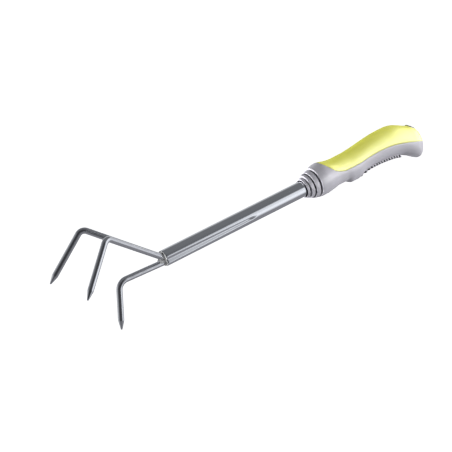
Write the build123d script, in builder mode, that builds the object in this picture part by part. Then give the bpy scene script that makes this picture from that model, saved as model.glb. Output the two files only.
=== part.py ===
"""Three-tine hand cultivator: fluted steel tube, three bent rod tines and a two-colour moulded grip.

Units are millimetres. +X runs along the shaft toward the tines, +Z is up and +Y is the left side
when looking along +X. The origin lies under the middle of the tool, level with the lowest tine tip.
"""
import os

from build123d import *

os.makedirs("parts", exist_ok=True)

# Driving dimensions
overall_length = 415.38
handle_length = 150.9
shaft_length = 164.3
shaft_z = 44.815
tube_radius = 8.0
tube_wall = 1.3
rod_radius = 3.0
outer_bend_radius = 6.5
centre_bend_radius = 9.5
point_length = 9.0
point_radius = 0.8
flute_length = 105.0
flute_radius = 2.5
flute_depth_rear = 0.9
flute_depth_front = 1.4
flute_drop = 0.6
insert_thickness = 3.0
tube_socket_depth = 110.0
hang_hole_radius = 3.25
hang_eyelet_radius = 4.75
hang_flange_height = 1.2
rib_width = 1.7
rib_span = 13.0
rib_height_front = 1.2
rib_height_gain = 0.028
rib_base_height = 0.4

# Stations along the shaft
butt_x = -overall_length / 2
collar_x = butt_x + handle_length
mouth_x = collar_x + shaft_length
body_front_x = collar_x - 14.4
tube_rear_x = collar_x - tube_socket_depth
hang_x = collar_x - 142.8
bore_radius = tube_radius - tube_wall

# Tine shapes as offsets from the middle of the tube mouth: root, bend corner and tip
centre_tine_points = [(-1.0, 0.0, -3.5), (50.0, 0.0, -1.2), (62.1, 0.0, -44.6)]
left_tine_points = [(-1.0, 0.3, 0.2), (58.9, 24.6, 52.6), (99.6, 37.5, 12.3)]

# Handle sections: distance behind the collar face, underside, top and half width, all from the shaft axis
handle_sections = [
    (14.4, -15.0, 15.7, 15.2),
    (19.0, -15.3, 16.7, 15.8),
    (24.0, -15.2, 17.5, 16.0),
    (32.0, -14.2, 16.4, 15.0),
    (40.0, -12.9, 15.2, 13.9),
    (48.0, -12.9, 14.7, 13.5),
    (56.0, -16.4, 14.7, 13.8),
    (63.0, -16.4, 15.3, 13.9),
    (72.0, -12.9, 16.3, 13.4),
    (80.0, -11.2, 17.5, 13.2),
    (88.0, -10.8, 18.5, 13.4),
    (96.0, -10.9, 19.3, 13.8),
    (104.0, -11.4, 19.6, 14.2),
    (112.0, -12.3, 19.2, 14.6),
    (120.0, -14.2, 17.8, 14.9),
    (128.0, -17.8, 15.0, 15.0),
    (136.0, -22.9, 11.5, 14.6),
    (141.0, -25.0, 8.9, 13.4),
    (146.0, -23.3, 4.8, 10.3),
    (149.0, -19.6, 0.3, 6.9),
    (150.4, -15.8, -4.0, 3.9),
    (150.9, -13.2, -6.8, 2.2),
]

# Ribs under the grip as distances behind the collar face: wide apart at the front, then evenly spaced
rib_stations = [68.4, 74.2, 79.0] + [83.0 + 3.2 * index for index in range(12)]

# Parting line between the soft insert and the hard body, seen from the side
parting_points = [
    (24.8, 19.0),
    (27.8, 15.0),
    (31.0, 10.6),
    (35.0, 6.4),
    (41.0, 3.4),
    (48.5, 1.6),
    (61.0, 1.9),
    (76.0, 3.0),
    (92.0, 4.0),
    (104.0, 3.6),
    (117.0, 1.2),
    (130.0, -2.2),
    (142.0, -6.2),
    (157.0, -12.6),
]

# Collar outline: distance behind the collar face and radius, from the front to the handle body
collar_outline = [
    (0.0, 9.3),
    (0.6, 10.0),
    (3.0, 10.4),
    (3.0, 9.5),
    (3.7, 9.5),
    (3.7, 11.4),
    (4.4, 12.0),
    (7.4, 12.4),
    (7.4, 11.2),
    (8.1, 11.2),
    (8.1, 13.2),
    (8.9, 13.8),
    (13.0, 14.3),
    (13.0, 12.4),
    (14.4, 12.4),
]


def handle_loft(inset, x_trim=0.0, swell=0.0):
    """Grip as a loft through its sections, drawn in by the inset less a swell per mm behind the first rib."""
    with BuildPart() as grip:
        for back, low, high, half_width in handle_sections:
            middle = (low + high) / 2
            half_height = (high - low) / 2
            drawn_in = inset - swell * (back - rib_stations[0])
            if min(half_width, half_height) - drawn_in < 0.5 or back < x_trim:
                continue
            section = Plane(
                origin=(collar_x - back, 0, shaft_z + middle),
                x_dir=(0, 1, 0),
                z_dir=(-1, 0, 0),
            )
            with BuildSketch(section):
                Ellipse(min(half_width, half_height - 0.05) - drawn_in, half_height - drawn_in)
        loft()
    return grip.part


def swept_rod(points, bend_radius):
    """Round rod with one bend and a sharpened point, given as root, corner and tip."""
    root, corner, tip = [Vector(mouth_x + x, y, shaft_z + z) for x, y, z in points]
    along = (corner - root).normalized()
    prong = (tip - corner).normalized()
    shoulder = tip - prong * point_length
    flat = Plane(origin=root, x_dir=along, z_dir=along.cross(prong))
    end = flat.to_local_coords(shoulder)
    with BuildPart() as rod:
        with BuildLine(flat):
            FilletPolyline((0, 0), ((corner - root).length, 0), (end.X, end.Y), radius=bend_radius)
        with BuildSketch(Plane(origin=root, z_dir=along)):
            Circle(rod_radius)
        sweep()
        with BuildSketch(Plane(origin=shoulder, z_dir=prong)):
            Circle(rod_radius)
        with BuildSketch(Plane(origin=tip, z_dir=prong)):
            Circle(point_radius)
        loft()
    return rod.part


def tube_solid(radius, x_from, x_to, groove_radius):
    """Solid bar of the given radius with the two side flutes pressed into its front part."""
    flute_x = mouth_x - flute_length
    past_x = mouth_x + 6.0
    slope = (flute_depth_front - flute_depth_rear) / flute_length
    rear_y = tube_radius + flute_radius - flute_depth_rear
    past_y = rear_y - slope * (past_x - flute_x)
    with BuildPart() as bar:
        with BuildSketch(Plane.YZ.offset(x_from)):
            with Locations((0, shaft_z)):
                Circle(radius)
        extrude(amount=x_to - x_from)
        for side in (1, -1):
            start = Vector(flute_x, side * rear_y, shaft_z - flute_drop)
            stop = Vector(past_x, side * past_y, shaft_z - flute_drop)
            with BuildSketch(Plane(origin=start, z_dir=stop - start)):
                Circle(groove_radius)
            extrude(amount=(stop - start).length, mode=Mode.SUBTRACT)
            with Locations(start):
                Sphere(groove_radius, mode=Mode.SUBTRACT)
    return bar.part


# Steel tube, open at both ends
with BuildPart() as shaft_tube:
    add(tube_solid(tube_radius, tube_rear_x, mouth_x, flute_radius))
    add(
        tube_solid(bore_radius, tube_rear_x - 1.0, mouth_x + 1.0, flute_radius + tube_wall),
        mode=Mode.SUBTRACT,
    )
shaft_tube.part.label = "shaft_tube"
export_step(shaft_tube.part, "parts/shaft_tube.step")

# Plug that fills the tube behind the tine roots
with BuildPart() as head_plug:
    add(tube_solid(bore_radius, mouth_x - 9.0, mouth_x - 1.0, flute_radius + tube_wall))
head_plug.part.label = "head_plug"
export_step(head_plug.part, "parts/head_plug.step")

# Plug that keeps the moulding out of the rear of the tube
with BuildPart() as tail_plug:
    with BuildSketch(Plane.YZ.offset(tube_rear_x)):
        with Locations((0, shaft_z)):
            Circle(bore_radius)
    extrude(amount=6.0)
tail_plug.part.label = "tail_plug"
export_step(tail_plug.part, "parts/tail_plug.step")

# Centre tine, the lowest of the three, with its root cut flat on the plug
with BuildPart() as centre_tine:
    add(swept_rod(centre_tine_points, centre_bend_radius))
    with BuildSketch(Plane.YZ.offset(mouth_x - 1.0)):
        with Locations((0, shaft_z)):
            Circle(20)
    extrude(amount=-10, mode=Mode.SUBTRACT)
centre_tine.part.label = "centre_tine"
export_step(centre_tine.part, "parts/centre_tine.step")

# Left tine: mitred against the right one and saddled over the centre one at the root
with BuildPart() as left_tine:
    add(swept_rod(left_tine_points, outer_bend_radius))
    with BuildSketch(Plane.YZ.offset(mouth_x - 1.0)):
        with Locations((0, shaft_z)):
            Circle(20)
    extrude(amount=-10, mode=Mode.SUBTRACT)
    with BuildSketch(Plane.XZ):
        with Locations((mouth_x, shaft_z)):
            Rectangle(60, 60)
    extrude(amount=20, mode=Mode.SUBTRACT)
    add(centre_tine.part, mode=Mode.SUBTRACT)
left_tine.part.label = "left_tine"
export_step(left_tine.part, "parts/left_tine.step")

# Right tine, the mirror image of the left one
with BuildPart() as right_tine:
    add(mirror(left_tine.part, about=Plane.XZ))
right_tine.part.label = "right_tine"
export_step(right_tine.part, "parts/right_tine.step")

# Weld that closes the tube mouth round the tine roots
with BuildPart() as root_weld:
    with BuildSketch(Plane(origin=(mouth_x, 0, shaft_z), x_dir=(1, 0, 0), z_dir=(0, -1, 0))):
        with BuildLine():
            Polyline((2.6, 0), (-1.0, 0), (-1.0, 4.4), (0.0, 4.4), (0.0, 7.2), (0.6, 7.4))
            Spline((0.6, 7.4), (1.6, 6.6), (2.2, 4.6), (2.6, 2.0), tangents=((1, 0), (0.1, -1)))
            Line((2.6, 2.0), (2.6, 0))
        make_face()
    revolve(axis=Axis((mouth_x, 0, shaft_z), (1, 0, 0)))
    add(centre_tine.part, mode=Mode.SUBTRACT)
    add(left_tine.part, mode=Mode.SUBTRACT)
    add(right_tine.part, mode=Mode.SUBTRACT)
    add(root_weld.solids().sort_by(SortBy.VOLUME)[-1], mode=Mode.REPLACE)
root_weld.part.label = "root_weld"
export_step(root_weld.part, "parts/root_weld.step")

# Stepped collar of three rings in front of the grip
with BuildPart() as bellows_collar:
    with BuildSketch(Plane.XZ):
        with BuildLine():
            Polyline(
                *[(collar_x - back, shaft_z + radius) for back, radius in collar_outline],
                (body_front_x, shaft_z + tube_radius),
                (collar_x - 1.6, shaft_z + tube_radius),
                (collar_x - 1.6, shaft_z + 8.7),
                (collar_x, shaft_z + 8.7),
                close=True,
            )
        make_face()
    revolve(axis=Axis((0, 0, shaft_z), (1, 0, 0)))
bellows_collar.part.label = "bellows_collar"
export_step(bellows_collar.part, "parts/bellows_collar.step")

# Soft insert over the top of the grip
with BuildPart() as grip_insert:
    add(handle_loft(0.0))
    with BuildSketch(Plane.XZ):
        with BuildLine():
            parting = Spline(*[(collar_x - back, shaft_z + z) for back, z in parting_points])
            Polyline(parting @ 1, (butt_x - 10, shaft_z + 60), (collar_x - 20, shaft_z + 60), parting @ 0)
        make_face()
    extrude(amount=40, both=True, mode=Mode.INTERSECT)
    add(handle_loft(insert_thickness, 18.0), mode=Mode.SUBTRACT)
    with BuildSketch(Plane.XY.offset(shaft_z - 40)):
        with Locations((hang_x, 0)):
            Circle(hang_eyelet_radius)
    extrude(amount=80, mode=Mode.SUBTRACT)
grip_insert.part.label = "grip_insert"
export_step(grip_insert.part, "parts/grip_insert.step")

# Hard body of the grip, with the tube socket and the seat of the hang eyelet
with BuildPart() as handle_body:
    add(handle_loft(0.0))
    with BuildSketch(Plane.YZ.offset(body_front_x)):
        with Locations((0, shaft_z)):
            Circle(tube_radius)
    extrude(amount=tube_rear_x - body_front_x, mode=Mode.SUBTRACT)
    with BuildSketch(Plane.XY.offset(shaft_z - 40)):
        with Locations((hang_x, 0)):
            Circle(hang_eyelet_radius)
    extrude(amount=80, mode=Mode.SUBTRACT)
    add(grip_insert.part, mode=Mode.SUBTRACT)
handle_body.part.label = "handle_body"
export_step(handle_body.part, "parts/handle_body.step")

# Eyelet that lines the hang hole, standing slightly proud on top and flush underneath
with BuildPart() as hang_eyelet:
    add(handle_loft(-hang_flange_height))
    with BuildSketch(Plane.XY.offset(shaft_z - 40)):
        with Locations((hang_x, 0)):
            Circle(2 * hang_eyelet_radius)
    extrude(amount=32, mode=Mode.SUBTRACT)
    add(handle_loft(0.0))
    with BuildSketch(Plane.XY.offset(shaft_z - 40)):
        with Locations((hang_x, 0)):
            Circle(hang_eyelet_radius)
    extrude(amount=80, mode=Mode.INTERSECT)
    with BuildSketch(Plane.XY.offset(shaft_z - 40)):
        with Locations((hang_x, 0)):
            Circle(hang_hole_radius)
    extrude(amount=80, mode=Mode.SUBTRACT)
hang_eyelet.part.label = "hang_eyelet"
export_step(hang_eyelet.part, "parts/hang_eyelet.step")

# Finger ribs along the underside, standing on a thin strip
rib_strip_length = rib_stations[-1] - rib_stations[0] + rib_width
with BuildPart() as finger_ribs:
    with BuildSketch(Plane.XY):
        with Locations((collar_x - rib_stations[0] + rib_width / 2, 0)):
            Rectangle(rib_strip_length, rib_span, align=(Align.MAX, Align.CENTER))
    extrude(amount=shaft_z)
    add(handle_loft(-rib_base_height), mode=Mode.INTERSECT)
    with BuildPart(mode=Mode.PRIVATE) as ribs:
        with BuildSketch(Plane.XY):
            for back in rib_stations:
                with Locations((collar_x - back, 0)):
                    Rectangle(rib_width, rib_span)
        extrude(amount=shaft_z)
        add(handle_loft(-rib_height_front, swell=rib_height_gain), mode=Mode.INTERSECT)
    add(ribs.part)
    add(handle_loft(0.0), mode=Mode.SUBTRACT)
finger_ribs.part.label = "finger_ribs"
export_step(finger_ribs.part, "parts/finger_ribs.step")
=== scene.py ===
"""Looks of the three-tine hand cultivator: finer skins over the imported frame, materials, light and camera.

Lengths are metres in the row frame. +X runs toward the tines, +Z is up and +Y is the left side.
"""
import math

import bmesh
import bpy
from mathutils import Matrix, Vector, noise


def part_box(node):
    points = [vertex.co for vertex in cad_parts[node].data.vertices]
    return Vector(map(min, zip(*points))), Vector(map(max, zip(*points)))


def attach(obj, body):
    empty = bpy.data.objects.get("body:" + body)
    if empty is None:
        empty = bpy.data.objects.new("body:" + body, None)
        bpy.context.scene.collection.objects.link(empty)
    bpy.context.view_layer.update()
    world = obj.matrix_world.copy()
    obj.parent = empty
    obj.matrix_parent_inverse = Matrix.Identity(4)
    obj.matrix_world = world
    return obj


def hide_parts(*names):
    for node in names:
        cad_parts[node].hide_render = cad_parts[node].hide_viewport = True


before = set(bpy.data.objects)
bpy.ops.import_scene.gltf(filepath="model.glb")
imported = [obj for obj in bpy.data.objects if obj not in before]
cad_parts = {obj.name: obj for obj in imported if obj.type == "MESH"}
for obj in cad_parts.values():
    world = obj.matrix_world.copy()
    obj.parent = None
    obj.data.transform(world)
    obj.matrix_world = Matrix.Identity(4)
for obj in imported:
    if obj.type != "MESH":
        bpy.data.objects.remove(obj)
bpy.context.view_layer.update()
MM = 0.001
TAU = 2 * math.pi
ROD_R = 3.0 * MM

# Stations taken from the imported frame
TUBE_LOW, TUBE_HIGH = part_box("shaft_tube")
COLLAR_LOW, COLLAR_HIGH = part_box("bellows_collar")
MOUTH_X = TUBE_HIGH[0]
AXIS_Z = (COLLAR_LOW[2] + COLLAR_HIGH[2]) / 2
COLLAR_X = COLLAR_HIGH[0]
TUBE_R = (TUBE_HIGH[1] - TUBE_LOW[1]) / 2
HANG_X = sum(corner[0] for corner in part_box("hang_eyelet")) / 2


# ---------------------------------------------------------------- helpers

def clamp(value, low=0.0, high=1.0):
    return max(low, min(high, value))


def smoothstep(low, high, value):
    t = clamp((value - low) / (high - low))
    return t * t * (3 - 2 * t)


def curve_through(points):
    """Smooth function y(x) through (x, y) points in rising x, with limited slopes so it never overshoots."""
    xs = [p[0] for p in points]
    ys = [p[1] for p in points]
    steps = [(ys[i + 1] - ys[i]) / (xs[i + 1] - xs[i]) for i in range(len(xs) - 1)]
    slopes = [steps[0]]
    for before, after in zip(steps, steps[1:]):
        slopes.append(0.0 if before * after <= 0 else 2 * before * after / (before + after))
    slopes.append(steps[-1])

    def value(x):
        if x <= xs[0]:
            return ys[0]
        if x >= xs[-1]:
            return ys[-1]
        i = max(k for k in range(len(xs) - 1) if xs[k] <= x)
        span = xs[i + 1] - xs[i]
        t = (x - xs[i]) / span
        return (
            (2 * t**3 - 3 * t**2 + 1) * ys[i]
            + (t**3 - 2 * t**2 + t) * span * slopes[i]
            + (3 * t**2 - 2 * t**3) * ys[i + 1]
            + (t**3 - t**2) * span * slopes[i + 1]
        )

    return value


def new_piece(name, bm, materials, node_name, smooth_angle):
    """Turns a bmesh into a piece that rides on the body and stands for its CAD node.

    Edges sharper than smooth_angle, in degrees, stay hard.
    """
    bmesh.ops.remove_doubles(bm, verts=bm.verts, dist=1e-6)
    bmesh.ops.recalc_face_normals(bm, faces=bm.faces)
    mesh = bpy.data.meshes.new(name)
    bm.to_mesh(mesh)
    bm.free()
    for polygon in mesh.polygons:
        polygon.use_smooth = True
    for material in materials:
        mesh.materials.append(material)
    piece = bpy.data.objects.new(name, mesh)
    bpy.context.scene.collection.objects.link(piece)
    mesh.set_sharp_from_angle(angle=math.radians(smooth_angle))
    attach(piece, "root")
    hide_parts(node_name)
    return piece


def paint(piece, index, chosen):
    """Gives each face whose centre is chosen the material at this index."""
    for polygon in piece.data.polygons:
        if chosen(polygon.center):
            polygon.material_index = index


def add_grid(bm, rows, wrap=False, skip=None):
    """Quads between rows of points. wrap joins the last column to the first; skip(centre) drops a face."""
    made = [[bm.verts.new(p) for p in row] for row in rows]
    for upper, lower in zip(made, made[1:]):
        count = len(upper)
        for j in range(count if wrap else count - 1):
            k = (j + 1) % count
            corners = []
            for v in (upper[j], upper[k], lower[k], lower[j]):
                if not any((v.co - c.co).length < 1e-7 for c in corners):
                    corners.append(v)
            if len(corners) < 3:
                continue
            if skip and skip(sum((c.co for c in corners), Vector()) / len(corners)):
                continue
            bm.faces.new(corners)


def off_axis(point):
    """Distance of a point from the shaft axis."""
    return math.hypot(point.y, point.z - AXIS_Z)


def behind(x):
    """Distance from the collar face back to x, in millimetres."""
    return (COLLAR_X - x) / MM


def spaced(first, last, count):
    """Evenly spaced values that follow first and end with last."""
    return [first + (last - first) * k / count for k in range(1, count + 1)]


def lathe(bm, profile, segments, change=None):
    """Surface of revolution about the shaft axis; change(x, radius, angle) is added to each radius."""
    rows = []
    for x, radius in profile:
        row = []
        for j in range(segments):
            angle = TAU * j / segments
            r = radius + (change(x, radius, angle) if change else 0.0)
            row.append(Vector((x, r * math.cos(angle), AXIS_Z + r * math.sin(angle))))
        rows.append(row)
    add_grid(bm, rows, wrap=True)


def rounded(points, radius, steps=5):
    """Polyline of (x, r) points with every corner rounded by an arc-like curve."""
    result = [points[0]]
    for before, corner, after in zip(points, points[1:], points[2:]):
        a, b, c = Vector(before), Vector(corner), Vector(after)
        cut = min(radius, 0.45 * (a - b).length, 0.45 * (c - b).length)
        start = b + (a - b).normalized() * cut
        stop = b + (c - b).normalized() * cut
        for k in range(steps + 1):
            t = k / steps
            point = start * (1 - t) ** 2 + b * 2 * t * (1 - t) + stop * t**2
            result.append((point.x, point.y))
    result.append(points[-1])
    return result


# ---------------------------------------------------------------- materials

def new_material(name):
    material = bpy.data.materials.new(name)
    material.use_nodes = True
    tree = material.node_tree
    shader = tree.nodes["Principled BSDF"]
    return material, tree, shader


def node(tree, kind, **values):
    made = tree.nodes.new(kind)
    for key, value in values.items():
        if key in made.inputs:
            made.inputs[key].default_value = value
        else:
            setattr(made, key, value)
    return made


def textured(tree, kind, scale, stretch=(1, 1, 1), **values):
    """Texture node in object coordinates, with the coordinates stretched per axis."""
    coords = node(tree, "ShaderNodeTexCoord")
    mapping = node(tree, "ShaderNodeMapping")
    mapping.inputs["Scale"].default_value = stretch
    texture = node(tree, kind, Scale=scale, **values)
    tree.links.new(coords.outputs["Object"], mapping.inputs["Vector"])
    tree.links.new(mapping.outputs["Vector"], texture.inputs["Vector"])
    return texture


def ramp(tree, source, stops):
    made = node(tree, "ShaderNodeValToRGB")
    elements = made.color_ramp.elements
    while len(elements) < len(stops):
        elements.new(0.5)
    for element, (position, colour) in zip(elements, stops):
        element.position = position
        element.color = (*colour, 1)
    tree.links.new(source, made.inputs["Fac"])
    return made.outputs["Color"]


def mix(tree, factor, first, second):
    made = node(tree, "ShaderNodeMix", data_type="RGBA")
    for socket, value in ((0, factor), (6, first), (7, second)):
        if isinstance(value, (int, float)):
            made.inputs[socket].default_value = value
        elif isinstance(value, tuple):
            made.inputs[socket].default_value = (*value, 1)
        else:
            tree.links.new(value, made.inputs[socket])
    return made.outputs[2]


def spread(tree, source, low, high):
    made = node(tree, "ShaderNodeMapRange")
    made.inputs["To Min"].default_value = low
    made.inputs["To Max"].default_value = high
    tree.links.new(source, made.inputs["Value"])
    return made.outputs["Result"]


def add_bump(tree, shader, heights):
    """Chains bump nodes; heights are (socket, strength, distance) from coarse to fine."""
    last = None
    for source, strength, distance in heights:
        bump = node(tree, "ShaderNodeBump", Strength=strength, Distance=distance)
        tree.links.new(source, bump.inputs["Height"])
        if last:
            tree.links.new(last, bump.inputs["Normal"])
        last = bump.outputs["Normal"]
    tree.links.new(last, shader.inputs["Normal"])


def polished_steel(name, tint, low_rough, high_rough, stretch):
    """Bright plated steel: faint draw lines along the stock, smudges and small pits."""
    material, tree, shader = new_material(name)
    shader.inputs["Metallic"].default_value = 1.0
    cloud = textured(tree, "ShaderNodeTexNoise", 55, Detail=6.0, Roughness=0.6)
    lines = textured(tree, "ShaderNodeTexNoise", 900, stretch, Detail=4.0, Roughness=0.7)
    pits = textured(tree, "ShaderNodeTexVoronoi", 700)
    base = mix(tree, spread(tree, cloud.outputs["Fac"], 0.0, 1.0), tuple(c * 0.9 for c in tint), tint)
    base = mix(tree, spread(tree, lines.outputs["Fac"], 0.0, 0.22), base, tuple(c * 0.72 for c in tint))
    tree.links.new(base, shader.inputs["Base Color"])
    smudge = mix(tree, 0.45, cloud.outputs["Fac"], lines.outputs["Fac"])
    tree.links.new(spread(tree, smudge, low_rough, high_rough), shader.inputs["Roughness"])
    add_bump(tree, shader, [
        (cloud.outputs["Fac"], 0.06, 0.3 * MM),
        (lines.outputs["Fac"], 0.10, 0.03 * MM),
        (pits.outputs["Distance"], 0.04, 0.03 * MM),
    ])
    return material


def weld_metal(name, shade):
    """Rough grey weld under plating, with darker hollows."""
    material, tree, shader = new_material(name)
    cloud = textured(tree, "ShaderNodeTexNoise", 420, Detail=8.0, Roughness=0.65)
    tint = textured(tree, "ShaderNodeTexNoise", 230, Detail=2.0)
    heat = ramp(tree, tint.outputs["Fac"], [
        (0.32, (0.30 * shade, 0.30 * shade, 0.29 * shade)),
        (0.48, (0.48 * shade, 0.48 * shade, 0.48 * shade)),
        (0.70, (0.70 * shade, 0.71 * shade, 0.72 * shade)),
    ])
    dark = mix(tree, spread(tree, cloud.outputs["Fac"], 0.0, 0.35), heat, (0.2, 0.2, 0.195))
    tree.links.new(dark, shader.inputs["Base Color"])
    shader.inputs["Metallic"].default_value = 0.35
    tree.links.new(spread(tree, cloud.outputs["Fac"], 0.22, 0.5), shader.inputs["Roughness"])
    add_bump(tree, shader, [(cloud.outputs["Fac"], 0.5, 0.25 * MM)])
    return material


def hard_plastic(name, shade):
    """Lilac-grey satin moulding with a fine spark-eroded grain and faint handling marks."""
    material, tree, shader = new_material(name)
    cloud = textured(tree, "ShaderNodeTexNoise", 38, Detail=5.0, Roughness=0.55)
    flow = textured(tree, "ShaderNodeTexNoise", 90, (0.25, 1, 1), Detail=3.0)
    grain = textured(tree, "ShaderNodeTexNoise", 2600, Detail=3.0, Roughness=0.6)
    pores = textured(tree, "ShaderNodeTexVoronoi", 1700)
    tints = [(0.385, 0.378, 0.415), (0.455, 0.445, 0.48), (0.50, 0.49, 0.525), (0.30, 0.295, 0.325)]
    low, high, pale, dark = [tuple(c * shade for c in tint) for tint in tints]
    base = mix(tree, spread(tree, cloud.outputs["Fac"], 0.1, 0.9), low, high)
    base = mix(tree, spread(tree, flow.outputs["Fac"], 0.0, 0.25), base, pale)
    base = mix(tree, spread(tree, grain.outputs["Fac"], 0.0, 0.2), base, dark)
    tree.links.new(base, shader.inputs["Base Color"])
    tree.links.new(spread(tree, cloud.outputs["Fac"], 0.36, 0.52), shader.inputs["Roughness"])
    add_bump(tree, shader, [
        (grain.outputs["Fac"], 0.22, 0.06 * MM),
        (pores.outputs["Distance"], 0.18, 0.05 * MM),
    ])
    return material


def soft_rubber():
    """Lime soft-touch moulding: waxy sheen, mottled matt skin and a dry rubber grain."""
    material, tree, shader = new_material("soft_rubber_lime")
    cloud = textured(tree, "ShaderNodeTexNoise", 30, Detail=5.0, Roughness=0.55)
    mottle = textured(tree, "ShaderNodeTexNoise", 420, Detail=4.0, Roughness=0.6)
    grain = textured(tree, "ShaderNodeTexVoronoi", 1500)
    fine = textured(tree, "ShaderNodeTexNoise", 3200, Detail=2.0)
    base = mix(tree, spread(tree, cloud.outputs["Fac"], 0.1, 0.9), (0.62, 0.62, 0.06), (0.69, 0.69, 0.085))
    base = mix(tree, spread(tree, mottle.outputs["Fac"], 0.0, 0.22), base, (0.54, 0.53, 0.035))
    tree.links.new(base, shader.inputs["Base Color"])
    tree.links.new(spread(tree, mottle.outputs["Fac"], 0.38, 0.56), shader.inputs["Roughness"])
    shader.inputs["Subsurface Weight"].default_value = 0.08
    shader.inputs["Subsurface Radius"].default_value = (0.004, 0.004, 0.001)
    shader.inputs["Subsurface Scale"].default_value = 0.5
    add_bump(tree, shader, [
        (grain.outputs["Distance"], 0.16, 0.06 * MM),
        (fine.outputs["Fac"], 0.15, 0.04 * MM),
    ])
    return material


TUBE_STEEL = polished_steel("tube_steel_plated", (0.95, 0.97, 1.0), 0.10, 0.19, (0.03, 1, 1))
ROD_STEEL = polished_steel("rod_steel_plated", (0.86, 0.87, 0.90), 0.14, 0.28, (0.4, 1, 0.4))
# The weld's own rough grey, darkened to 0.6 partly as painted shade inside the mouth; the paler rim copy at
# 1.4 is a painted highlight.
WELD = weld_metal("weld_metal", 0.6)
WELD_RIM_PAINTED_HIGHLIGHT = weld_metal("weld_metal_rim_painted_highlight", 1.4)
GREY = hard_plastic("hard_plastic_grain", 1.0)
# Darker copy of the grey: painted shade in the collar's undercuts.
GREY_UNDERCUT_PAINTED_SHADE = hard_plastic("hard_plastic_undercut_painted_shade", 0.12)
# Paler copy of the grey: painted highlight on the rolled lips of the collar and of the grip's front flange.
GREY_LIP_PAINTED_HIGHLIGHT = hard_plastic("hard_plastic_lip_painted_highlight", 1.75)
# Near-black copy of the grey: painted shade in the slots between the finger ribs.
GREY_SLOT_PAINTED_SHADE = hard_plastic("hard_plastic_slot_painted_shade", 0.03)
# Darker copy of the grey: painted shade on the eyelet.
GREY_EYELET_PAINTED_SHADE = hard_plastic("hard_plastic_eyelet_painted_shade", 0.7)
LIME = soft_rubber()


# ---------------------------------------------------------------- grip
# Its lengths are in millimetres, and its stations s are measured back from the collar face.

SECTIONS = [  # station, height of the underside and of the top above the shaft axis, half width
    (14.4, -15.0, 15.7, 15.2),
    (19.0, -15.3, 16.7, 15.8),
    (24.0, -15.2, 17.5, 16.0),
    (32.0, -14.2, 16.4, 15.0),
    (40.0, -12.9, 15.2, 13.9),
    (48.0, -12.9, 14.7, 13.5),
    (56.0, -16.4, 14.7, 13.8),
    (63.0, -16.4, 15.3, 13.9),
    (72.0, -12.9, 16.3, 13.4),
    (80.0, -11.2, 17.5, 13.2),
    (88.0, -10.8, 18.5, 13.4),
    (96.0, -10.9, 19.3, 13.8),
    (104.0, -11.4, 19.6, 14.2),
    (112.0, -12.3, 19.6, 14.6),
    (120.0, -14.2, 18.4, 14.9),
    (128.0, -17.8, 15.3, 15.0),
    (136.0, -22.9, 11.5, 14.6),
    (144.0, -26.8, 8.9, 13.4),
    (150.9, -26.6, 7.4, 11.0),
]
FRONT = SECTIONS[0][0]
END = SECTIONS[-1][0]
CLOSE_FROM = 136.0  # from here back the butt rounds off
INSERT_FRONT = 24.8
EYELET_CUT = 4.1 * MM

low_at = curve_through([(s, low) for s, low, _, _ in SECTIONS])
top_at = curve_through([(s, top) for s, _, top, _ in SECTIONS])
wide_at = curve_through([(s, wide) for s, _, _, wide in SECTIONS])
parting_at = curve_through([  # station, height at which the two mouldings meet
    (24.8, 18.6), (25.6, 16.9), (27.8, 14.4), (31.0, 10.6), (35.0, 6.4), (41.0, 3.4), (48.5, 1.6),
    (61.0, 1.9), (76.0, 3.0), (92.0, 4.0), (104.0, 3.6), (117.0, 1.2), (130.0, -2.2), (142.0, -6.2),
    (157.0, -12.6),
])


def section_at(s):
    """(middle height, half height, half width) of the grip; the butt closes as a superellipse."""
    middle = (low_at(s) + top_at(s)) / 2
    half = (top_at(s) - low_at(s)) / 2
    closing = 1.0
    if s > CLOSE_FROM:
        t = clamp((s - CLOSE_FROM) / (END - CLOSE_FROM))
        closing = max(0.0, 1 - t**2.2) ** 0.4
    return middle, half * closing, wide_at(s) * closing


def parting_angle(s):
    """Angle round the section, from the side, at which the two mouldings meet."""
    middle, half, _ = section_at(s)
    if s <= INSERT_FRONT or half <= 0:
        return math.pi / 2
    return math.asin(clamp((parting_at(s) - middle) / half, -1, 1))


def grip_point(s, angle, inset):
    """Point of the grip's surface, sunk by inset; the angle turns from the left side over the top."""
    middle, half, wide = section_at(s)
    y = max(wide - inset, 0) * math.cos(angle)
    z = middle + max(half - inset, 0) * math.sin(angle)
    return Vector((COLLAR_X - s * MM, y * MM, AXIS_Z + z * MM))


def thumb_dish(s, angle):
    """Depth of the shallow thumb rest on the crown of the insert."""
    depth, middle, length, reach = 1.0, 37, 9, 0.55
    if math.sin(angle) <= 0:
        return 0.0
    return depth * math.exp(-(((s - middle) / length) ** 2) - (math.cos(angle) / reach) ** 2)


def stations(first):
    """Stations along the grip, closer together where it closes at the butt."""
    coarse, closing_steps = 0.7, 48
    result = []
    s = first
    while s < CLOSE_FROM:
        result.append(s)
        s += coarse
    span = END - CLOSE_FROM
    return result + [END - span * (1 - k / closing_steps) ** 2.5 for k in range(closing_steps + 1)]


def eyelet_gap(point):
    """Whether a point lies in the hole that the eyelet fills."""
    return (point.x - HANG_X) ** 2 + point.y**2 < EYELET_CUT**2


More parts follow.
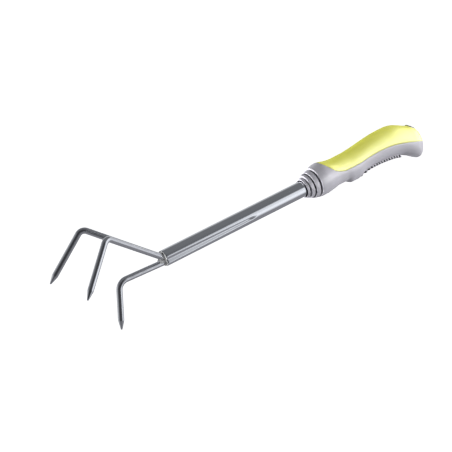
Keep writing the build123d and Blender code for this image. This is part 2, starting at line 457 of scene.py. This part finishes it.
def build_insert():
    """Lime moulding: swells a little over the body, sinks at its edge and is tucked under it there."""
    around, tucks, tuck_depth = 72, 3, 0.55
    front_length, front_steps = 12, 26
    edge_sink, swell = 0.32, 0.12
    bm = bmesh.new()
    rows = []
    front = [INSERT_FRONT + front_length * (k / front_steps) ** 2.2 for k in range(1, front_steps)]
    for s in front + stations(front[-1])[1:]:
        lower = parting_angle(s)
        if math.pi / 2 - lower < 0.01:
            continue
        arc = (math.pi / 2 - lower) * max(section_at(s)[1], 0.3)
        row = []
        for k in range(-tucks, around + tucks + 1):
            u = clamp(k / around)
            angle = lower + (math.pi - 2 * lower) * u
            edge = min(u, 1 - u) * 2 * arc
            inset = edge_sink * (1 - smoothstep(0, 0.75, edge)) - swell * smoothstep(0.3, 1.6, edge)
            inset += thumb_dish(s, angle)
            beyond = max(-k, k - around, 0)
            row.append(grip_point(s, angle, inset + tuck_depth * beyond))
        rows.append(row)
    add_grid(bm, rows, skip=eyelet_gap)
    return new_piece("grip_insert_skin", bm, [LIME], "grip_insert", 50)


def build_body():
    """Grey moulding: a rounded front flange whose lip carries a painted highlight in a paler grey, open along
    the top where the insert lies.
    """
    around = 144
    edge_sink = 0.34
    lip_width, lip_radius = 0.6, 14.2
    bm = bmesh.new()
    rows = []
    for inset in (4.2, 0.75, 0.3, 0.1):
        rows.append([grip_point(FRONT, math.pi / 2 + TAU * k / around, inset) for k in range(around + 1)])
    for s in [FRONT + 0.25, FRONT + 0.6] + stations(FRONT + 1.0):
        lower = parting_angle(s)
        start, stop = math.pi - lower, TAU + lower
        arc = (stop - start) / 2 * max(section_at(s)[1], 0.3)
        beside_insert = smoothstep(INSERT_FRONT, INSERT_FRONT + 1, s)
        row = []
        for k in range(around + 1):
            u = k / around
            angle = start + (stop - start) * u
            edge = min(u, 1 - u) * 2 * arc
            row.append(grip_point(s, angle, edge_sink * (1 - smoothstep(0, 0.5, edge)) * beside_insert))
        rows.append(row)
    add_grid(bm, rows, skip=eyelet_gap)

    def on_painted_lip_highlight(centre):
        back = behind(centre.x)
        if back >= FRONT + lip_width:
            return False
        return back > FRONT + 0.01 or off_axis(centre) > lip_radius * MM

    piece = new_piece("grip_body_skin", bm, [GREY, GREY_LIP_PAINTED_HIGHLIGHT], "handle_body", 50)
    # The flange lip gets the pale grey as painted highlight.
    paint(piece, 1, on_painted_lip_highlight)
    return piece


# The first ribs stand wider apart than the rest
RIB_STATIONS = [68.4, 74.2, 79.0] + [83.0 + 3.2 * k for k in range(12)]


def build_ribs():
    """Strip of small ribs that follows the belly of the grip, with painted shade in near-black gaps between
    them.
    """
    around = 32
    half_width, half_span, base = 0.85, 6.5, 0.4
    rounding, shoulder = 0.3, 0.35
    first_height, second_height, height_gain = 1.0, 2.0, 0.014
    outline = []
    for s in RIB_STATIONS:
        height = second_height + height_gain * (s - RIB_STATIONS[1])
        if s == RIB_STATIONS[0]:
            height = first_height
        side = [(half_width, base), (half_width - 0.05, height - shoulder), (half_width - rounding, height)]
        outline += [(s - out, lift) for out, lift in side]
        outline += [(s + out, lift) for out, lift in reversed(side)]
    outline = [(outline[0][0] - 0.3, -0.5)] + outline + [(outline[-1][0] + 0.3, -0.5)]
    bm = bmesh.new()
    rows = []
    for s, lift in outline:
        reach = math.asin(half_span / section_at(s)[2])
        row = [grip_point(s, math.pi * 1.5 - reach, 0.6)]
        for k in range(around + 1):
            u = k / around
            ends = rounding * (1 - smoothstep(0, 0.06, min(u, 1 - u))) if lift > 1 else 0.0
            row.append(grip_point(s, math.pi * 1.5 + reach * (2 * u - 1), ends - lift))
        row.append(grip_point(s, math.pi * 1.5 + reach, 0.6))
        rows.append(row)
    add_grid(bm, rows)

    def painted_shade_between_ribs(centre):
        return min(abs(behind(centre.x) - s) for s in RIB_STATIONS) > half_width - 0.04

    piece = new_piece("finger_rib_strip", bm, [GREY, GREY_SLOT_PAINTED_SHADE], "finger_ribs", 35)
    # Faces between the ribs get the near-black grey as painted shade.
    paint(piece, 1, painted_shade_between_ribs)
    return piece


def build_eyelet():
    """Eyelet through the butt, with a low rounded flange on the crown and a flush lower end."""
    bore, outer, proud, around = 3.25, 4.75, 1.2, 72

    def band(side, flange):
        """Rings of (radius, lift) round the bore that follow the grip's surface above or below."""
        rings = []
        for radius, lift in flange:
            ring = []
            for k in range(around):
                angle = TAU * k / around
                x = HANG_X + radius * MM * math.cos(angle)
                y = radius * MM * math.sin(angle)
                middle, half, wide = section_at(behind(x))
                crown = math.sqrt(max(0.0, 1 - (y / (wide * MM)) ** 2))
                z = AXIS_Z + (middle + side * half * crown) * MM + side * lift * MM
                ring.append(Vector((x, y, z)))
            rings.append(ring)
        return rings

    top_flange = [
        (outer, -0.8), (outer, 0.8), (outer - 0.12, 1.05), (outer - 0.4, proud),
        (bore + 0.5, proud), (bore + 0.15, 1.05), (bore, 0.6),
    ]
    flush_end = [(outer, -0.8), (outer - 0.1, 0.0), (bore + 0.3, 0.0), (bore, -0.3)]
    bm = bmesh.new()
    add_grid(bm, band(1, top_flange) + band(-1, flush_end)[::-1], wrap=True)
    # The eyelet's darker grey is painted shade.
    return new_piece("hang_eyelet_skin", bm, [GREY_EYELET_PAINTED_SHADE], "hang_eyelet", 50)


# ---------------------------------------------------------------- collar, tube and head

def build_collar():
    """Three stepped rings, each with a rolled lip painted paler as a painted highlight and an undercut behind
    it painted dark as painted shade.
    """
    outline = [  # distance behind the front face, radius
        (2.2, 8.05), (2.2, 8.7), (0.1, 8.75), (0.0, 9.9), (3.0, 10.4), (3.05, 8.5), (3.75, 8.5),
        (3.7, 11.85), (7.4, 12.4), (7.45, 9.3), (8.25, 9.3), (8.2, 13.65), (12.9, 14.3),
        (13.0, 9.8), (14.7, 9.8),
    ]
    # Stretches along the collar, with the radius that they stay under or over: the undercuts get painted
    # shade, the lips a painted highlight
    undercuts = [(0.3, 2.6, 8.95), (2.9, 3.8, 9.9), (7.3, 8.3, 11.6), (12.8, 14.8, 13.7)]
    lips = [(-0.1, 0.55, 9.2), (3.6, 4.3, 11.2), (8.1, 8.85, 12.9)]

    def in_painted_undercut_shade(centre):
        back, radius = behind(centre.x), off_axis(centre) / MM
        return any(first < back < last and radius < edge for first, last, edge in undercuts)

    def on_painted_lip_highlight(centre):
        back, radius = behind(centre.x), off_axis(centre) / MM
        return any(first < back < last and radius > edge for first, last, edge in lips)

    bm = bmesh.new()
    lathe(bm, [(COLLAR_X - back * MM, radius * MM) for back, radius in rounded(outline, 0.6)], 144)
    skins = [GREY, GREY_UNDERCUT_PAINTED_SHADE, GREY_LIP_PAINTED_HIGHLIGHT]
    piece = new_piece("stepped_collar_skin", bm, skins, "bellows_collar", 35)
    # Faces in the undercuts get the dark grey as painted shade.
    paint(piece, 1, in_painted_undercut_shade)
    # Faces on the lips get the pale grey as painted highlight.
    paint(piece, 2, on_painted_lip_highlight)
    return piece


FLUTE_LENGTH = 105.0 * MM
FLUTE_START = MOUTH_X - FLUTE_LENGTH
FLUTE_DROP = 0.075  # angle of each flute below the side of the tube, in radians
FLUTE_DEPTH, FLUTE_DEEPENS = 0.9 * MM, 0.9 * MM  # at the rear, and how much more at the mouth
FLUTE_HALF_WIDTH, FLUTE_WIDENS = 1.7 * MM, 2.0 * MM
FLUTE_RUN_IN = 0.11  # share of its length over which a flute reaches its depth


def flute_depth(x, angle):
    """How far the two pressed side flutes draw in the tube wall."""
    run = clamp((x - FLUTE_START) / FLUTE_LENGTH)
    if run <= 0:
        return 0.0
    depth = (FLUTE_DEPTH + FLUTE_DEEPENS * run) * smoothstep(0, FLUTE_RUN_IN, run)
    half_width = FLUTE_HALF_WIDTH + FLUTE_WIDENS * run
    total = 0.0
    for centre in (-FLUTE_DROP, math.pi + FLUTE_DROP):
        away = abs((angle - centre + math.pi) % TAU - math.pi) * TUBE_R
        if away < half_width:
            total += depth * math.cos(math.pi / 2 * away / half_width) ** 1.5
    return total


def build_tube():
    """Tube with its two flutes, and a rounded rim that turns into the open mouth."""
    rear = TUBE_LOW[0]
    run_in = FLUTE_START + 4 * MM
    rim_start = MOUTH_X - 0.6 * MM
    xs = [rear] + spaced(rear, FLUTE_START, 40)
    xs += spaced(FLUTE_START, run_in, 24) + spaced(run_in, rim_start, 90)
    # Distance behind the mouth and depth under the outside of the tube
    rim = [(0.3, 0.04), (0.1, 0.16), (0.0, 0.4), (0.0, 0.9), (0.2, 1.2), (2.0, 1.3), (12.0, 1.3)]
    profile = [(x, TUBE_R) for x in xs]
    profile += [(MOUTH_X - back * MM, TUBE_R - depth * MM) for back, depth in rim]
    bm = bmesh.new()
    lathe(bm, profile, 192, lambda x, radius, angle: -flute_depth(x, angle))
    return new_piece("shaft_tube_skin", bm, [TUBE_STEEL], "shaft_tube", 30)


def rod_path(points, bend_radius):
    """Centre points and radii along a bent rod with a ground point."""
    straight_steps, bend_steps, prong_steps = 60, 28, 90
    point_length, blunt_end = 9.0 * MM, 0.24
    root, corner, tip = [Vector((MOUTH_X + x * MM, y * MM, AXIS_Z + z * MM)) for x, y, z in points]
    along = (corner - root).normalized()
    prong = (tip - corner).normalized()
    turn = along.angle(prong)
    cut = bend_radius * math.tan(turn / 2)
    start = corner - along * cut
    side = (prong - along * prong.dot(along)).normalized()
    centre = start + side * bend_radius
    path = [root + (start - root) * k / straight_steps for k in range(straight_steps)]
    for k in range(bend_steps):
        a = turn * k / bend_steps
        path.append(centre - side * bend_radius * math.cos(a) + along * bend_radius * math.sin(a))
    stop = corner + prong * cut
    length = (tip - stop).length
    path += [stop + prong * length * (k / prong_steps) for k in range(prong_steps + 1)]
    radii = []
    for p in path:
        cone = clamp((tip - p).length / point_length)
        radii.append(ROD_R * (blunt_end + (1 - blunt_end) * cone**0.92))
    return path, radii


def build_rod(name, points, bend_radius, node_name, seed):
    """Bent rod with faint ripples; seed moves the ripples so that no two rods share them."""
    around = 56
    ripple_rate, ripple_height = 160, 0.035 * MM
    path, radii = rod_path(points, bend_radius * MM)
    bm = bmesh.new()
    rows = []
    left = Vector((0, 1, 0))
    for k, p in enumerate(path):
        ahead = path[min(k + 1, len(path) - 1)] - path[max(k - 1, 0)]
        direction = ahead.normalized()
        side = direction.cross(left).normalized()
        over = side.cross(direction).normalized()
        row = []
        for j in range(around):
            a = TAU * j / around
            where = Vector((p.x * ripple_rate + seed, a * 0.7, p.z * ripple_rate))
            ripple = noise.noise(where) * ripple_height
            r = radii[k] + ripple * (radii[k] / ROD_R)
            row.append(p + side * r * math.cos(a) + over * r * math.sin(a))
        rows.append(row)
    tip = path[-1] + (path[-1] - path[-2]).normalized() * 0.15 * MM
    rows.append([tip] * around)
    add_grid(bm, rows, wrap=True)
    return new_piece(name, bm, [ROD_STEEL], node_name, 50)


def build_weld():
    """Lumpy fill inside the tube mouth with a rim painted pale as a painted highlight, and beads where the
    rods leave it.
    """
    bm = bmesh.new()

    def lumps(x, radius, angle):
        """Uneven surface that also follows the flutes near the tube wall."""
        where = Vector((x * 420, math.cos(angle) * 2.4, math.sin(angle) * 2.4))
        drawn_in = flute_depth(MOUTH_X, angle) * smoothstep(4 * MM, 7 * MM, radius)
        return noise.noise(where) * 0.22 * MM - drawn_in

    outline = [  # distance in front of the mouth, radius
        (-0.9, 6.3), (0.0, 7.4), (0.2, 7.85), (0.55, 7.8), (0.7, 7.3), (0.1, 6.7), (0.2, 5.6),
        (0.7, 4.0), (0.9, 2.0), (0.9, 0.05),
    ]
    lathe(bm, [(MOUTH_X + x * MM, r * MM) for x, r in rounded(outline, 0.25)], 160, lumps)
    beads = [  # offset from the mouth centre and half sizes
        ((3.6, 0.0, 6.2), (3.4, 2.3, 1.7)),
        ((3.0, 2.4, -1.2), (2.8, 1.7, 1.9)),
        ((3.0, -2.4, -1.2), (2.8, 1.7, 1.9)),
        ((0.8, 2.4, -4.9), (1.4, 2.4, 1.7)),
        ((0.8, -3.4, 2.6), (1.3, 2.4, 2.4)),
        ((0.8, -2.4, -4.9), (1.4, 2.4, 1.7)),
    ]
    for index, (offset, halves) in enumerate(beads):
        blob = bmesh.ops.create_icosphere(bm, subdivisions=4, radius=1.0)
        for vert in blob["verts"]:
            swell = 1 + 0.22 * noise.noise(vert.co * 1.7 + Vector((index * 5.3, 0, 0)))
            place = [(o + c * h * swell) * MM for o, c, h in zip(offset, vert.co, halves)]
            vert.co = Vector((MOUTH_X + place[0], place[1], AXIS_Z + place[2]))

    def on_painted_rim_highlight(centre):
        angle = math.atan2(centre.z - AXIS_Z, centre.y)
        rim_radius = 6.65 * MM - flute_depth(MOUTH_X, angle)
        return centre.x - MOUTH_X < 1.2 * MM and off_axis(centre) > rim_radius

    piece = new_piece("root_weld_beads", bm, [WELD, WELD_RIM_PAINTED_HIGHLIGHT], "root_weld", 60)
    # The rim faces get the paler weld as painted highlight.
    paint(piece, 1, on_painted_rim_highlight)
    return piece


# Root, corner and tip of each rod, in millimetres from the centre of the tube mouth
CENTRE_TINE = [(-1.0, 0.0, -3.5), (50.0, 0.0, -1.2), (62.1, 0.0, -44.6)]
LEFT_TINE = [(-1.0, 0.3, 0.2), (58.9, 24.6, 52.6), (99.6, 37.5, 12.3)]
RIGHT_TINE = [(x, -y, z) for x, y, z in LEFT_TINE]

build_tube()
build_collar()
build_body()
build_insert()
build_ribs()
build_eyelet()
build_rod("centre_tine_rod", CENTRE_TINE, 9.5, "centre_tine", 3.0)
build_rod("left_tine_rod", LEFT_TINE, 6.5, "left_tine", 11.0)
build_rod("right_tine_rod", RIGHT_TINE, 6.5, "right_tine", 23.0)
build_weld()
for node_name, material in (("head_plug", WELD), ("tail_plug", GREY)):
    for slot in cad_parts[node_name].material_slots:
        slot.material = material


# ---------------------------------------------------------------- floor, light and camera

def build_floor():
    """Plain pale floor far under the tool, kept out of the reflections in the steel."""
    drop, size = 1.6, 14
    bm = bmesh.new()
    bmesh.ops.create_grid(bm, x_segments=8, y_segments=8, size=size)
    mesh = bpy.data.meshes.new("pale_floor")
    bm.to_mesh(mesh)
    bm.free()
    floor = bpy.data.objects.new("pale_floor", mesh)
    floor.location = (0, 0, -drop)
    floor.visible_glossy = False
    floor.visible_diffuse = False
    floor.visible_shadow = False
    bpy.context.scene.collection.objects.link(floor)
    material, _, shader = new_material("pale_floor_paint")
    shader.inputs["Base Color"].default_value = (0.82, 0.82, 0.82, 1)
    shader.inputs["Roughness"].default_value = 0.9
    shader.inputs["Emission Color"].default_value = (1, 1, 1, 1)
    shader.inputs["Emission Strength"].default_value = 0.95
    mesh.materials.append(material)


def heading(azimuth, elevation=0.0):
    """Unit direction from degrees about +Z and above the horizon."""
    a, e = math.radians(azimuth), math.radians(elevation)
    return Vector((math.cos(a) * math.cos(e), math.sin(a) * math.cos(e), math.sin(e)))


GREY_SKINS = ["grip_body_skin", "stepped_collar_skin", "hang_eyelet_skin", "finger_rib_strip"]
METAL_SKINS = ["shaft_tube_skin", "root_weld_beads", "centre_tine_rod", "left_tine_rod", "right_tine_rod"]
INSERT_SKIN = ["grip_insert_skin"]
LAMP_TARGET = Vector((-0.05, 0.0, 0.04))  # a point in the tube near the grip


def add_lamp(name, azimuth, elevation, distance, size, strength, lit=None, gloss_only=False):
    """Soft disc lamp; strength is the brightness it gives a white card that faces it.

    It lights every piece, or only the ones named in lit. It shows in no reflection, except that a gloss_only
    lamp shows only there.
    """
    data = bpy.data.lights.new(name, "AREA")
    data.shape = "DISK"
    data.size = size
    data.energy = strength * (math.pi * distance) ** 2
    lamp = bpy.data.objects.new(name, data)
    away = heading(azimuth, elevation)
    lamp.location = LAMP_TARGET + away * distance
    lamp.rotation_euler = (-away).to_track_quat("-Z", "Y").to_euler()
    lamp.visible_glossy = gloss_only
    lamp.visible_diffuse = not gloss_only
    bpy.context.scene.collection.objects.link(lamp)
    if lit:
        receivers = bpy.data.collections.new(name + "_receivers")
        for piece in lit:
            receivers.objects.link(bpy.data.objects[piece])
        lamp.light_linking.receiver_collection = receivers


def build_world():
    """Studio that the steel mirrors: pale panels by the butt, a pale backdrop, a dark patch at the camera."""
    world = bpy.data.worlds.new("studio")
    world.use_nodes = True
    tree = world.node_tree
    direction = node(tree, "ShaderNodeTexCoord").outputs["Generated"]

    def facing(vector, low, high):
        """0 to 1 as the direction turns toward the vector, between two cosines."""
        dot = node(tree, "ShaderNodeVectorMath", operation="DOT_PRODUCT")
        tree.links.new(direction, dot.inputs[0])
        dot.inputs[1].default_value = vector
        made = node(tree, "ShaderNodeMapRange", interpolation_type="SMOOTHSTEP")
        made.inputs["From Min"].default_value = low
        made.inputs["From Max"].default_value = high
        tree.links.new(dot.outputs["Value"], made.inputs["Value"])
        return made.outputs["Result"]

    def times(first, second):
        made = node(tree, "ShaderNodeMath", operation="MULTIPLY")
        tree.links.new(first, made.inputs[0])
        tree.links.new(second, made.inputs[1])
        return made.outputs["Value"]

    up = Vector((0, 0, 1))
    level = times(facing(up, -0.78, -0.60), facing(-up, -0.50, -0.30))
    near_panel = times(times(facing(heading(204), -0.10, 0.03), facing(heading(65), -0.15, 0.15)), level)
    far_panel = times(times(facing(heading(228), -0.15, 0.15), facing(heading(105), -0.30, 0.10)), level)
    backdrop = times(facing(heading(-80), -0.10, 0.75), facing(-up, -0.75, -0.35))
    below = facing(-up, 0.35, 0.85)
    dark = facing(heading(62, 18), 0.40, 1.0)
    tone = (0.155, 0.16, 0.17)
    tone = mix(tree, far_panel, tone, (0.56, 0.57, 0.60))
    tone = mix(tree, near_panel, tone, (0.97, 0.99, 1.04))
    tone = mix(tree, backdrop, tone, (0.58, 0.59, 0.61))
    tone = mix(tree, below, tone, (0.24, 0.24, 0.26))
    tone = mix(tree, dark, tone, (0.035, 0.036, 0.04))
    seen = node(tree, "ShaderNodeLightPath").outputs["Is Camera Ray"]
    tone = mix(tree, seen, tone, (1.0, 1.0, 1.0))
    tree.links.new(tone, tree.nodes["Background"].inputs["Color"])
    bpy.context.scene.world = world


def build_lamps():
    """Key, top and rim light, and lamps for single mouldings, the collar's edges and the weld."""
    add_lamp("key", 130, -4, 1.5, 0.9, 1.1, GREY_SKINS + METAL_SKINS)
    add_lamp("soft_key", 130, -4, 1.5, 0.9, 0.24, INSERT_SKIN)
    add_lamp("top", -170, 62, 1.4, 0.9, 0.30)
    add_lamp("rim", -45, 8, 1.4, 0.6, 0.75)
    add_lamp("sheen", 122, 0, 1.5, 1.1, 0.9, GREY_SKINS + INSERT_SKIN, gloss_only=True)
    add_lamp("gloss", 152, 0, 1.5, 2.6, 9.0, INSERT_SKIN, gloss_only=True)
    add_lamp("crown", 90, 70, 1.4, 0.8, 0.42, INSERT_SKIN)
    add_lamp("weld_fill", 50, 12, 1.4, 0.5, 0.9, ["root_weld_beads"])
    add_lamp("edge", -22, 4, 1.4, 0.5, 1.6, ["stepped_collar_skin", "grip_body_skin", "root_weld_beads"])


def build_camera():
    """Long lens from in front of the tool, above it and on its left."""
    place = (0.67105, 1.21402, 0.549165)
    turn_degrees = (69.0493, 15.4012, 146.5416)
    data = bpy.data.cameras.new("view")
    data.sensor_width = 36
    data.lens = 122.42
    data.clip_end = 60
    camera = bpy.data.objects.new("view", data)
    camera.location = place
    camera.rotation_euler = [math.radians(a) for a in turn_degrees]
    bpy.context.scene.collection.objects.link(camera)
    bpy.context.scene.camera = camera


build_floor()
build_world()
build_lamps()
build_camera()
bpy.context.scene.view_settings.view_transform = "Standard"
